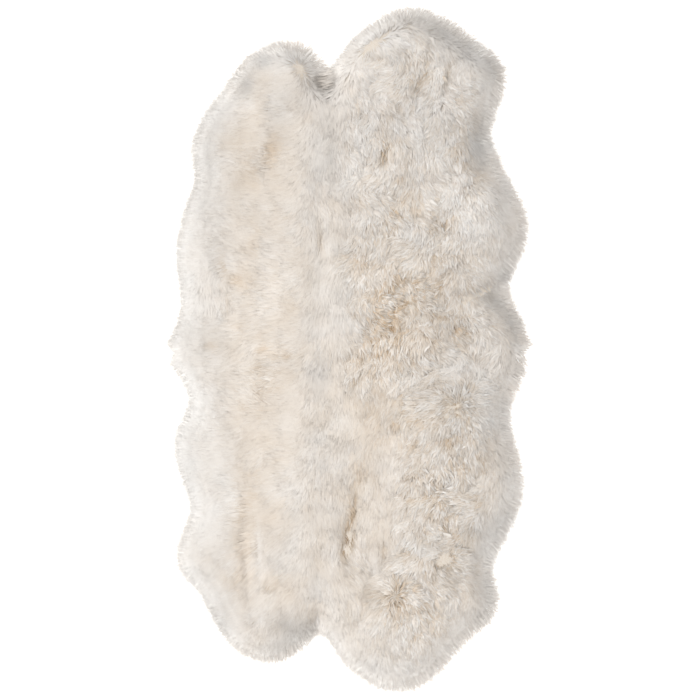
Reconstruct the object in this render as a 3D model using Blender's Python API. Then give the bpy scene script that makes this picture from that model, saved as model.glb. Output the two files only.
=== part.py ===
"""A sheepskin rug of four pelts, sewn flank to flank and rump to rump, lying flat.

Each pelt is one solid: a lumpy slab as deep as its pile, with flat walls where it is sewn to its
neighbours, an overhanging rim, and a row of tapered locks that lie on the floor around that rim.
Metres, +Z up, the floor at Z = 0, and +Y runs towards the taller pair of necks.
"""

import math
import random
from typing import NamedTuple

import bmesh
import bpy
import numpy as np
from mathutils import Vector, noise
from mathutils.geometry import delaunay_2d_cdt

# Driving sizes, in metres
MM = 0.001
PILE_DEPTH = 0.058  # the usual height of the wool over the floor
RIM_HEIGHT = 0.015  # the height at which the wool overhangs furthest
SHOULDER = 0.085  # the wool rounds over from its rim to its full depth in this width
UNDERCUT = 0.009  # how far the foot of the rim stands back from the overhang
OUTLINE_STEP = 0.024  # the spacing of points along an outline, and so the width of a rim lock
SEAM_GAP = 0.0003  # between the sewn walls of two pelts
SEAM_DIP = 0.005  # how far the pile sinks along a seam
SEAM_DIP_WIDTH = 0.030
LOCK_LENGTH = 0.019  # how far a usual rim lock reaches past the overhang
LOCK_LENGTHS = (0.7, 1.25)  # the shortest and the longest, as shares of that
LOCK_LEAN = 0.45  # the most a lock bends along the rim, as a share of its length
LOCK_CLEARANCE = 0.003  # from a lock's tip to the line of the seam beside it
UNEVENNESS = ((0.105, 0.0065), (0.055, 0.0045))  # widths and heights of its small lumps
SEED = 7

# Points of the top: rings at these distances inside the rim, then an even pattern
SHOULDER_RINGS = (0.004, 0.013, 0.028, 0.050, 0.074)
CROWN_STEP = 0.023


class RimPoint(NamedTuple):
    """A crest or a waist of the scalloped rim, in mm from where the two seams cross."""

    across: float
    along: float


class Lump(NamedTuple):
    """A tuft that stands proud or a hollow in the wool, in mm; turn is in degrees from +Y."""

    across: float
    along: float
    half_width: float
    half_length: float
    turn: float
    rise: float


class LockStage(NamedTuple):
    """A cross-section of a rim lock: share of its length and of its root's width, and height."""

    reach: float
    width: float
    height: float


class Pelt(NamedTuple):
    """A pelt's side of the two seams (+1 or -1), its wool's colour, and its rim, clockwise."""

    side: tuple
    wool: tuple
    rim: tuple


LOCK_STAGES = (
    LockStage(reach=0.55, width=0.72, height=0.009),
    LockStage(reach=1.0, width=0.26, height=0.003),
)

# The ends of the centre seam, which are the notches between the necks
TOP_NOTCH = RimPoint(22, 690)
BOTTOM_NOTCH = RimPoint(1, -706)

PELTS = {
    "pelt_upper_left": Pelt(
        side=(-1, 1),
        wool=(0.83, 0.77, 0.69),
        rim=(
            RimPoint(-378, 0),
            RimPoint(-380, 24),
            RimPoint(-349, 115),
            RimPoint(-362, 257),
            RimPoint(-341, 370),
            RimPoint(-310, 451),
            RimPoint(-320, 530),
            RimPoint(-299, 603),
            RimPoint(-239, 685),
            RimPoint(-189, 756),
            RimPoint(-136, 792),
            RimPoint(-89, 803),
            RimPoint(-42, 790),
            RimPoint(-10, 756),
            TOP_NOTCH,
        ),
    ),
    "pelt_upper_right": Pelt(
        side=(1, 1),
        wool=(0.76, 0.70, 0.62),
        rim=(
            TOP_NOTCH,
            RimPoint(42, 743),
            RimPoint(68, 785),
            RimPoint(126, 837),
            RimPoint(181, 871),
            RimPoint(236, 890),
            RimPoint(307, 871),
            RimPoint(373, 832),
            RimPoint(425, 790),
            RimPoint(464, 750),
            RimPoint(472, 719),
            RimPoint(451, 653),
            RimPoint(433, 575),
            RimPoint(464, 485),
            RimPoint(509, 407),
            RimPoint(533, 328),
            RimPoint(512, 260),
            RimPoint(478, 178),
            RimPoint(491, 134),
            RimPoint(512, 92),
            RimPoint(533, 21),
            RimPoint(530, 0),
        ),
    ),
    "pelt_lower_right": Pelt(
        side=(1, -1),
        wool=(0.79, 0.73, 0.65),
        rim=(
            RimPoint(530, 0),
            RimPoint(517, -60),
            RimPoint(485, -136),
            RimPoint(488, -202),
            RimPoint(520, -333),
            RimPoint(509, -407),
            RimPoint(472, -483),
            RimPoint(438, -562),
            RimPoint(454, -640),
            RimPoint(441, -680),
            RimPoint(365, -750),
            RimPoint(299, -827),
            RimPoint(241, -863),
            RimPoint(205, -874),
            RimPoint(168, -869),
            RimPoint(105, -834),
            RimPoint(42, -761),
            BOTTOM_NOTCH,
        ),
    ),
    "pelt_lower_left": Pelt(
        side=(-1, -1),
        wool=(0.82, 0.76, 0.68),
        rim=(
            BOTTOM_NOTCH,
            RimPoint(-42, -753),
            RimPoint(-94, -790),
            RimPoint(-136, -800),
            RimPoint(-178, -790),
            RimPoint(-226, -756),
            RimPoint(-273, -680),
            RimPoint(-302, -624),
            RimPoint(-352, -572),
            RimPoint(-359, -530),
            RimPoint(-349, -491),
            RimPoint(-320, -417),
            RimPoint(-331, -370),
            RimPoint(-357, -294),
            RimPoint(-365, -228),
            RimPoint(-344, -181),
            RimPoint(-325, -131),
            RimPoint(-336, -87),
            RimPoint(-375, -21),
            RimPoint(-378, 0),
        ),
    ),
}

# The tufts and partings that show from a step away
LUMPS = (
    Lump(165, 506, 26, 70, 0, -9),  # parting in the upper right pelt
    Lump(252, 735, 40, 60, -12, -7),
    Lump(300, 690, 22, 70, -25, 6),
    Lump(395, 545, 45, 60, 20, -9),  # hollow behind the right waist
    Lump(407, 338, 70, 100, 15, 8),  # the brushed-up tuft of the right shoulder
    Lump(186, 100, 85, 80, 0, -7),  # curly hollow above the cross seam
    Lump(430, 140, 25, 70, 65, -10),
    Lump(450, 60, 60, 55, 0, 6),
    Lump(362, -165, 90, 110, 0, 8),  # the star-shaped crown of the lower right pelt
    Lump(94, -359, 22, 80, -15, -9),  # long parting beside the centre seam
    Lump(68, -451, 22, 80, -12, -9),
    Lump(225, -300, 40, 50, 0, 5),
    Lump(197, -653, 85, 80, 0, 7),  # curly crown of the lower right neck
    Lump(232, -575, 22, 40, 30, -7),
    Lump(45, 330, 40, 260, -2, 4),  # brushed ridge beside the centre seam
    Lump(-126, 522, 40, 90, 8, -7),
    Lump(-235, 165, 35, 110, 20, -6),
    Lump(-290, 190, 45, 120, 12, 6),
    Lump(-200, 700, 30, 35, 0, -6),
    Lump(-189, -415, 30, 90, 0, -6),
    Lump(-140, -560, 30, 90, 0, 6),
    Lump(-110, -690, 60, 60, 0, 5),
)

WOOL_ROUGHNESS = 0.9


def clear_scene():
    for old in list(bpy.data.objects):
        bpy.data.objects.remove(old, do_unlink=True)


def placed(point):
    """A table row as a point in metres."""
    return Vector((point.across, point.along)) * MM


def seam_across(along):
    """Where the centre seam lies at this distance along the rug: straight from each notch."""
    notch = placed(TOP_NOTCH if along > 0 else BOTTOM_NOTCH)
    return notch.x * along / notch.y


def seam_distance(point):
    return min(abs(point.y), abs(point.x - seam_across(point.y)))


def evenly_spaced(points, step):
    """The points of an open line, moved to even steps of about this length along it."""
    reach = [0.0]
    for start, end in zip(points, points[1:]):
        reach.append(reach[-1] + (end - start).length)
    count = max(1, round(reach[-1] / step))
    spaced = []
    i = 0
    for n in range(count + 1):
        target = reach[-1] * n / count
        while i < len(points) - 2 and reach[i + 1] < target:
            i += 1
        share = (target - reach[i]) / (reach[i + 1] - reach[i])
        spaced.append(points[i].lerp(points[i + 1], min(1.0, share)))
    return spaced


def smooth_line(points, fine=12):
    """A Catmull-Rom curve through all the points, its ends running straight on."""
    ends = [points[0] * 2 - points[1], *points, points[-1] * 2 - points[-2]]
    line = []
    for a, b, c, d in zip(ends, ends[1:], ends[2:], ends[3:]):
        for n in range(fine):
            t = n / fine
            line.append(
                (b * 2 + (c - a) * t + (a * 2 - b * 5 + c * 4 - d) * t**2
                 + (b * 3 - a - c * 3 + d) * t**3) / 2
            )
    return [*line, points[-1]]


def rim_line(pelt):
    return evenly_spaced(smooth_line([placed(p) for p in pelt.rim]), OUTLINE_STEP)


def outline_of(pelt):
    """The pelt's outline as (point, True if it lies on a seam), starting with its rim."""
    rim = rim_line(pelt)
    crossing = Vector((0, 0))
    home = evenly_spaced([rim[-1], crossing], OUTLINE_STEP)[1:]
    away = evenly_spaced([crossing, rim[0]], OUTLINE_STEP)[1:-1]
    seams = [*home, *away]
    last = len(rim) - 1
    outline = [(p, i in (0, last)) for i, p in enumerate(rim)]
    outline += [(p, True) for p in seams]
    return [(off_the_seams(p, pelt.side) if sewn else p, sewn) for p, sewn in outline]


def off_the_seams(point, side):
    """Moves a point on a seam half the seam's gap to the pelt's own side of it."""
    half = SEAM_GAP / 2
    moved = point.copy()
    if abs(point.x - seam_across(point.y)) < half:
        moved.x += side[0] * half
    if abs(point.y) < half:
        moved.y += side[1] * half
    return moved


def rim_segments():
    """The ends of every stretch of the rug's outer rim, as two arrays."""
    starts, ends = [], []
    for pelt in PELTS.values():
        rim = rim_line(pelt)
        starts += [tuple(p) for p in rim[:-1]]
        ends += [tuple(p) for p in rim[1:]]
    return np.array(starts), np.array(ends)


def distance_to_rim(point, segments):
    starts, ends = segments
    run = ends - starts
    share = ((np.array(point) - starts) * run).sum(1) / (run**2).sum(1)
    nearest = starts + run * share.clip(0, 1)[:, None]
    return float(np.sqrt(((np.array(point) - nearest) ** 2).sum(1).min()))


def smooth_step(value):
    value = min(1.0, max(0.0, value))
    return value * value * (3 - 2 * value)


def tufts_at(point):
    """How far the wool's named lumps and its small unevenness lift the surface here."""
    lift = 0.0
    for lump in LUMPS:
        off = point - placed(lump)
        turn = math.radians(lump.turn)
        across = off.x * math.cos(turn) - off.y * math.sin(turn)
        along = off.x * math.sin(turn) + off.y * math.cos(turn)
        spread = (across / (lump.half_width * MM)) ** 2 + (along / (lump.half_length * MM)) ** 2
        lift += lump.rise * MM * math.exp(-spread)
    for width, height in UNEVENNESS:
        lift += height * noise.noise(Vector((point.x / width, point.y / width, width)))
    return lift


def height_at(point, segments):
    """The height of the wool's surface over the floor."""
    inwards = distance_to_rim(point, segments)
    rounded = math.sqrt(1 - (1 - min(inwards / SHOULDER, 1)) ** 2)
    dip = SEAM_DIP * math.exp(-((seam_distance(point) / SEAM_DIP_WIDTH) ** 2))
    inner = smooth_step(inwards / SHOULDER)
    return RIM_HEIGHT + (PILE_DEPTH - RIM_HEIGHT) * rounded + inner * (tufts_at(point) - dip)


def inside(point, outline):
    """True if a point lies within a closed outline."""
    crossings = 0
    for (a, _), (b, _) in zip(outline, [*outline[1:], outline[0]]):
        if (a.y > point.y) != (b.y > point.y):
            crossings += point.x < a.x + (b.x - a.x) * (point.y - a.y) / (b.y - a.y)
    return crossings % 2 == 1


def inward_ways(outline):
    """For each outline point, the unit way into the pelt, square to the outline."""
    ways = []
    count = len(outline)
    for i in range(count):
        run = outline[(i + 1) % count][0] - outline[i - 1][0]
        ways.append(Vector((run.y, -run.x)).normalized())
    return ways


def shoulder_places(outline, segments):
    """Points in rings just inside the rim, where the wool rounds over."""
    places = []
    for ring, inset in enumerate(SHOULDER_RINGS):
        for i, ((point, sewn), way) in enumerate(zip(outline, inward_ways(outline))):
            place = point + way * inset
            # Every other ring is moved half a step, so that the triangles stay even
            if ring % 2:
                place += (outline[(i + 1) % len(outline)][0] - point) / 2
            clear = distance_to_rim(place, segments) > 0.93 * inset
            if not sewn and clear and inside(place, outline) and seam_distance(place) > inset:
                places.append(place)
    return places


def crown_places(outline, segments):
    """Points in an even triangular pattern over the rest of the pelt."""
    low = Vector(min(p[i] for p, _ in outline) for i in range(2))
    high = Vector(max(p[i] for p, _ in outline) for i in range(2))
    row_step = CROWN_STEP * math.sqrt(3) / 2
    places = []
    for row in range(math.ceil((high.y - low.y) / row_step)):
        for column in range(math.ceil((high.x - low.x) / CROWN_STEP)):
            place = low + Vector(((column + row % 2 / 2) * CROWN_STEP, row * row_step))
            free = distance_to_rim(place, segments) > SHOULDER_RINGS[-1] + CROWN_STEP / 2
            if seam_distance(place) > CROWN_STEP / 2 and inside(place, outline) and free:
                places.append(place)
    return places


def top_faces(outline, segments):
    """The wool's surface from above: points that start with the outline, and triangles."""
    points = [p for p, _ in outline]
    points += shoulder_places(outline, segments) + crown_places(outline, segments)
    edge = [list(range(len(outline)))]
    found = delaunay_2d_cdt(points, [], edge, 1, 1e-6)
    places, _, triangles = found[:3]
    return [Vector(p) for p in places], triangles


def pull_lock(bm, root, side, rng):
    """Draws a root face out into a tapered, bent lock that lies on the floor."""
    root.normal_update()
    way = Vector((root.normal.x, root.normal.y)).normalized()
    across = Vector((-way.y, way.x))
    start = root.calc_center_median().xy
    length = LOCK_LENGTH * rng.uniform(*LOCK_LENGTHS)
    bend = length * LOCK_LEAN * rng.uniform(-1, 1)
    face = root
    for stage in LOCK_STAGES:
        face = bmesh.ops.extrude_discrete_faces(bm, faces=[face])["faces"][0]
        middle = face.calc_center_median()
        target = start + way * length * stage.reach + across * bend * stage.reach**2
        target = keep_to_side(target, side)
        widest = max((v.co.xy - middle.xy).dot(across) for v in face.verts)
        for vert in face.verts:
            beside = (vert.co.xy - middle.xy).dot(across) / widest
            moved = target + across * beside * stage.width * OUTLINE_STEP / 2
            vert.co = (moved.x, moved.y, stage.height if vert.co.z > middle.z else 0.0)


def keep_to_side(tip, side):
    """Holds a lock clear of the seams' lines, where the next pelt's locks begin."""
    seam = seam_across(tip.y)
    tip.x = seam + side[0] * max(LOCK_CLEARANCE, side[0] * (tip.x - seam))
    tip.y = side[1] * max(LOCK_CLEARANCE, side[1] * tip.y)
    return tip


def make_pelt(name, pelt, segments, rng):
    """One pelt: foot, overhanging rim, rounded shoulder, lumpy top, and its rim locks."""
    outline = outline_of(pelt)
    count = len(outline)
    bm = bmesh.new()
    places, triangles = top_faces(outline, segments)
    top = [bm.verts.new((p.x, p.y, height_at(p, segments))) for p in places]
    for triangle in triangles:
        bm.faces.new([top[i] for i in triangle])
    foot = []
    for (point, sewn), way in zip(outline, inward_ways(outline)):
        place = point if sewn else point + way * UNDERCUT
        foot.append(bm.verts.new((place.x, place.y, 0.0)))
    bm.faces.new(foot)
    walls = [
        bm.faces.new((foot[i], foot[(i + 1) % count], top[(i + 1) % count], top[i]))
        for i in range(count)
    ]
    bmesh.ops.recalc_face_normals(bm, faces=bm.faces)
    rim_walls = walls[: len(rim_line(pelt)) - 1]
    # The walls next to a seam stay plain, so that two pelts' locks never meet
    for wall in rim_walls[1:-1]:
        pull_lock(bm, wall, pelt.side, rng)
    mesh = bpy.data.meshes.new(name)
    bm.to_mesh(mesh)
    bm.free()
    mesh.shade_smooth()
    obj = bpy.data.objects.new(name, mesh)
    bpy.context.scene.collection.objects.link(obj)
    return obj


def wool_material(name, colour):
    material = bpy.data.materials.new(name + "_wool")
    material.use_nodes = True
    shader = material.node_tree.nodes["Principled BSDF"]
    shader.inputs["Base Color"].default_value = (*colour, 1.0)
    shader.inputs["Roughness"].default_value = WOOL_ROUGHNESS
    shader.inputs["Metallic"].default_value = 0.0
    return material


def centre_on_floor(objects):
    """Moves the rug so that the origin lies on the floor, midway along and across it."""
    corners = [v.co for o in objects for v in o.data.vertices]
    low = Vector(min(c[i] for c in corners) for i in range(2))
    high = Vector(max(c[i] for c in corners) for i in range(2))
    middle = (low + high) / 2
    for obj in objects:
        for vert in obj.data.vertices:
            vert.co.x -= middle.x
            vert.co.y -= middle.y


def main():
    clear_scene()
    segments = rim_segments()
    rng = random.Random(SEED)
    pelts = []
    for name, pelt in PELTS.items():
        obj = make_pelt(name, pelt, segments, rng)
        obj.data.materials.append(wool_material(name, pelt.wool))
        pelts.append(obj)
    centre_on_floor(pelts)


main()
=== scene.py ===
import math

import bmesh
import bpy
import numpy as np
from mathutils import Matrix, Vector
from mathutils.bvhtree import BVHTree
from mathutils.kdtree import KDTree


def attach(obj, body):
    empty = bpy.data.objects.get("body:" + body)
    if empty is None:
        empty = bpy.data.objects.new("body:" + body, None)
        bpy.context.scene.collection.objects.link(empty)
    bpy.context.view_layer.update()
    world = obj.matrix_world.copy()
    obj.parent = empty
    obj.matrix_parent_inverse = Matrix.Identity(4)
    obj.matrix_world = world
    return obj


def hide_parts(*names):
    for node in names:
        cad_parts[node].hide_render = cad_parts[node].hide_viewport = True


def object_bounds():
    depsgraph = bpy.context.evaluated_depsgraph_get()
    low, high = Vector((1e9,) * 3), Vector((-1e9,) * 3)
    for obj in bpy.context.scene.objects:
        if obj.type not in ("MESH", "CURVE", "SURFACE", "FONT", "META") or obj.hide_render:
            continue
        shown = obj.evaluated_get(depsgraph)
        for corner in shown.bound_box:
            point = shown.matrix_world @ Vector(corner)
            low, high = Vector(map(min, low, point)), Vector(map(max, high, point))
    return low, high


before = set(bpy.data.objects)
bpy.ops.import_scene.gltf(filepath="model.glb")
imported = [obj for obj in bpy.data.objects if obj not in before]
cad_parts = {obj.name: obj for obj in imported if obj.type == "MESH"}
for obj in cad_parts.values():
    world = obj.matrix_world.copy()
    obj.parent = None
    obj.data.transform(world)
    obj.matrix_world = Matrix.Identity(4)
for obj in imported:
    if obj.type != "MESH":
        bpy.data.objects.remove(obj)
cadBox = [list(corner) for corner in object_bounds()]
mm = 0.001
weld = 0.01 * mm  # corners this close are one, and a face this low lies on the floor
pelts = ["pelt_upper_left", "pelt_upper_right", "pelt_lower_left", "pelt_lower_right"]
print("frame loaded")


def toLinear(hexColour):
    channels = [int(hexColour[i : i + 2], 16) / 255 for i in (1, 3, 5)]
    linear = [c / 12.92 if c <= 0.04045 else ((c + 0.055) / 1.055) ** 2.4 for c in channels]
    return (*linear, 1.0)


def addNode(material, kind, settings, links):
    node = material.node_tree.nodes.new("ShaderNode" + kind)
    for name, value in settings.items():
        if name == "stops":
            while len(node.color_ramp.elements) < len(value):
                node.color_ramp.elements.new(0.5)
            for element, (position, colour) in zip(node.color_ramp.elements, value):
                element.position, element.color = position, toLinear(colour)
        elif isinstance(name, int) or name in node.inputs:
            node.inputs[name].default_value = value
        else:
            setattr(node, name, value)
    for socket, source in links.items():
        material.node_tree.links.new(source, node.inputs[socket])
    return node


def smoothStep(low, high, value):
    share = np.clip((value - low) / (high - low), 0, 1)
    return share * share * (3 - 2 * share)


def nearness(apart, width):  # 1 at the place itself, almost 0 past twice this width
    return np.exp(-((apart / width) ** 2))


def addObject(data):
    added = bpy.data.objects.new(data.name, data)
    bpy.context.scene.collection.objects.link(added)
    return added


def pieceFrom(bm, name, material):
    mesh = bpy.data.meshes.new(name)
    bm.to_mesh(mesh)
    bm.free()
    mesh.materials.append(material)
    return addObject(mesh)


def newMaterial(name, finish):
    material = bpy.data.materials.new(name)
    material.use_nodes = True
    for socket, value in finish.items():
        material.node_tree.nodes["Principled BSDF"].inputs[socket].default_value = value
    return material


def amongFour(field, rows, columns, across, along):  # between a field's four nearest values
    near = field[rows[0], columns[0]] * (1 - across) + field[rows[0], columns[1]] * across
    far = field[rows[1], columns[0]] * (1 - across) + field[rows[1], columns[1]] * across
    return near * (1 - along) + far * along


def treeOf(places):
    tree = KDTree(len(places))
    for i, place in enumerate(places):
        tree.insert(place, i)
    tree.balance()
    return tree


def wireShader(material, colour, bump=None):
    inputs = material.node_tree.nodes["Principled BSDF"].inputs
    material.node_tree.links.new(colour.outputs[0], inputs["Base Color"])
    if bump:
        material.node_tree.links.new(bump.outputs[0], inputs["Normal"])


def cloudNoise(x, y, size, seed):  # smooth noise from -1 to 1 with lumps of this size
    lattice = np.random.default_rng(seed).uniform(-1, 1, (256, 256))
    column, row = np.floor(x / size).astype(int), np.floor(y / size).astype(int)
    across, along = smoothStep(0, 1, x / size - column), smoothStep(0, 1, y / size - row)
    rows, columns = (row % 256, (row + 1) % 256), (column % 256, (column + 1) % 256)
    return amongFour(lattice, rows, columns, across, along)


def clouds(x, y, layers):  # each layer's size, strength and seed
    return sum(strength * cloudNoise(x, y, size, seed) for size, strength, seed in layers)


def nearestLock(x, y, size, seed):  # the centre of the lock that each place belongs to, and its own number
    shifts = np.random.default_rng(seed).uniform(0.1, 0.9, (256, 256, 2))
    column, row = np.floor(x / size).astype(int), np.floor(y / size).astype(int)
    best = np.full(x.shape, np.inf)
    centreX, centreY, number = np.zeros_like(x), np.zeros_like(x), np.zeros(x.shape, int)
    for stepX in (-1, 0, 1):
        for stepY in (-1, 0, 1):
            c, r = column + stepX, row + stepY
            shift = shifts[r % 256, c % 256]
            lockX, lockY = (c + shift[..., 0]) * size, (r + shift[..., 1]) * size
            distance = np.hypot(x - lockX, y - lockY)
            nearer = distance < best
            best = np.where(nearer, distance, best)
            centreX, centreY = np.where(nearer, lockX, centreX), np.where(nearer, lockY, centreY)
            number = np.where(nearer, (r % 256) * 256 + c % 256, number)
    return centreX, centreY, best, number


def perLock(number, seed):  # a random value from -1 to 1 for each lock
    return np.random.default_rng(seed).uniform(-1, 1, 65536)[number]


# the surface that the wool grows on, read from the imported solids
ground = {
    "step": 4 * mm,  # spacing of the grid that the solids are read onto
    "margin": 40 * mm,
    "rimHeight": 15 * mm,  # where the solids overhang furthest
    "drape": 20 * mm,  # past the rim the wool comes down to the floor in this width
    "drapedHeight": 2 * mm,
    "drapeCurve": 1.3,
    "steepest": 0.75,  # the wool's shading follows slopes up to this one
    "slopesFrom": (-5 * mm, 25 * mm),  # inwards: where it starts to follow them, and follows fully
    "blurs": 3,  # times that slopes and directions are smoothed
}


def readRim():
    points, outwards = [], []
    for name in pelts:
        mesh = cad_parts[name].data
        for face in mesh.polygons:
            corners = [mesh.vertices[i].co for i in face.vertices]
            low = [c for c in corners if abs(c.z - ground["rimHeight"]) < 0.02 * mm]
            high = [c for c in corners if c.z > ground["rimHeight"] + 0.2 * mm]
            if len(low) == 2 and len(high) == 1:
                run = (low[1] - low[0]).xy
                away = Vector((run.y, -run.x)).normalized()
                if away.dot((high[0] - low[0]).xy) > 0:
                    away.negate()
                count = max(1, round(run.length / ground["step"]))
                for n in range(count):
                    points.append(low[0].xy + run * (n + 0.5) / count)
                    outwards.append(away)
    return points, outwards


def readGround():
    low, high = Vector(cadBox[0]), Vector(cadBox[1])
    margin, step = ground["margin"], ground["step"]
    xs = np.arange(low.x - margin, high.x + margin, step)
    ys = np.arange(low.y - margin, high.y + margin, step)
    points, outwards = readRim()
    rimTree = treeOf([(*point, 0) for point in points])
    corners, faces, owner = [], [], []
    for number, name in enumerate(pelts):
        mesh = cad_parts[name].data
        start = len(corners)
        corners += [tuple(v.co) for v in mesh.vertices]
        faces += [[start + i for i in f.vertices] for f in mesh.polygons]
        owner += [number] * len(mesh.polygons)
    solids = BVHTree.FromPolygons(corners, faces)
    height = np.zeros((len(ys), len(xs)))
    inwards = np.zeros_like(height)
    pelt = np.zeros(height.shape, int)
    for row, y in enumerate(ys):
        for column, x in enumerate(xs):
            place, i, distance = rimTree.find((x, y, 0))
            beyond = (Vector((x, y)) - points[i]).dot(outwards[i]) > 0
            inwards[row, column] = -distance if beyond else distance
            hit, _, face, _ = solids.ray_cast((x, y, 1), (0, 0, -1))
            if not beyond and hit is None:  # between two pelts
                hit, _, face, _ = solids.ray_cast((x + mm, y + mm, 1), (0, 0, -1))
            if hit is not None:
                height[row, column] = hit.z
                pelt[row, column] = owner[face]
            else:
                pelt[row, column] = -1
    fall = np.clip(-inwards / ground["drape"], 0, 1)
    drop = ground["rimHeight"] - ground["drapedHeight"]
    draped = ground["drapedHeight"] + drop * (1 - fall) ** ground["drapeCurve"]
    height = np.where(inwards < 0, draped, np.maximum(height, ground["rimHeight"]))
    down, right = np.gradient(blurred(inwards, ground["blurs"]), step)
    length = np.hypot(right, down) + 1e-9
    slopeY, slopeX = np.gradient(blurred(height, ground["blurs"]), step)
    steepness = np.hypot(slopeX, slopeY) + 1e-9
    tamed = np.minimum(1, ground["steepest"] / steepness) * smoothStep(*ground["slopesFrom"], inwards)
    fields = {
        "height": blurred(height, 1),
        "inwards": inwards,
        "outX": -right / length,
        "outY": -down / length,
        "slopeX": slopeX * tamed,
        "slopeY": slopeY * tamed,
        "pelt": pelt,
    }
    return xs, ys, fields


def blurred(field, times):
    for _ in range(times):
        padded = np.pad(field, 1, mode="edge")
        field = (padded[:-2, 1:-1] + padded[2:, 1:-1] + padded[1:-1, :-2] + padded[1:-1, 2:] + 2 * field) / 6
    return field


gridX, gridY, fields = readGround()


def readField(name, x, y):
    field = fields[name]
    column = np.clip((x - gridX[0]) / ground["step"], 0, len(gridX) - 1.001)
    row = np.clip((y - gridY[0]) / ground["step"], 0, len(gridY) - 1.001)
    if name == "pelt":
        return field[np.round(row).astype(int), np.round(column).astype(int)]
    c, r = column.astype(int), row.astype(int)
    return amongFour(field, (r, r + 1), (c, c + 1), column - c, row - r)


print("ground read from the solids")


# how the wool lies; places are in mm from the middle of the rug, to the right and up in the photo
lay = {
    "seam": -76,  # the centre seam's place across
    "rimWidth": 55 * mm,  # the wool turns outwards within this width of the rim
    "rimPull": 3.2,
    "seamWidth": 42 * mm,
    "seamPull": 0.9,  # near the seam the wool lies down the photo
    "sides": (-10 * mm, 50 * mm),  # from the left pelts' way to the right pelts', past the seam
    "leftWay": (-1.0, -0.12),
    "rightWay": (0.15, -1.0),
    "turnsDown": (-350 * mm, -650 * mm),  # between these the left wool turns down the photo
    "turnedBy": 0.8,
    "waves": ((120 * mm, 0.30, 0.7, 21), (50 * mm, 0.15, 1.0, 22)),  # size, turn, more in tufts, seed
}

# tufts that part or burst: where they show, where their strands spring from, their reach, how
# strongly they turn the wool, and how far from straight outwards (0) towards a swirl (90)
whorlColumns = ("x", "y", "fromX", "fromY", "reach", "pull", "swirl")
whorlRows = [
    (286, -155, 286, -150, 95, 3.0, 0), (120, -668, 118, -650, 75, 2.5, 15),
    (345, 345, 305, 440, 75, 3.0, 0), (325, 190, 262, 222, 55, 3.0, 0),
    (355, 85, 300, 80, 55, 2.6, 0), (300, 610, 235, 650, 70, 2.2, 0),
    (285, -568, 236, -566, 48, 3.0, 10), (170, -325, 168, -320, 34, 1.8, 0),
    (-345, 160, -600, 420, 60, 2.2, 0), (-245, -765, -245, -700, 80, 1.5, 0),
]
whorls = [dict(zip(whorlColumns, row)) for row in whorlRows]

burstWidth = 16 * mm  # where a tuft parts, its strands are short and stand up in this width

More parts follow.
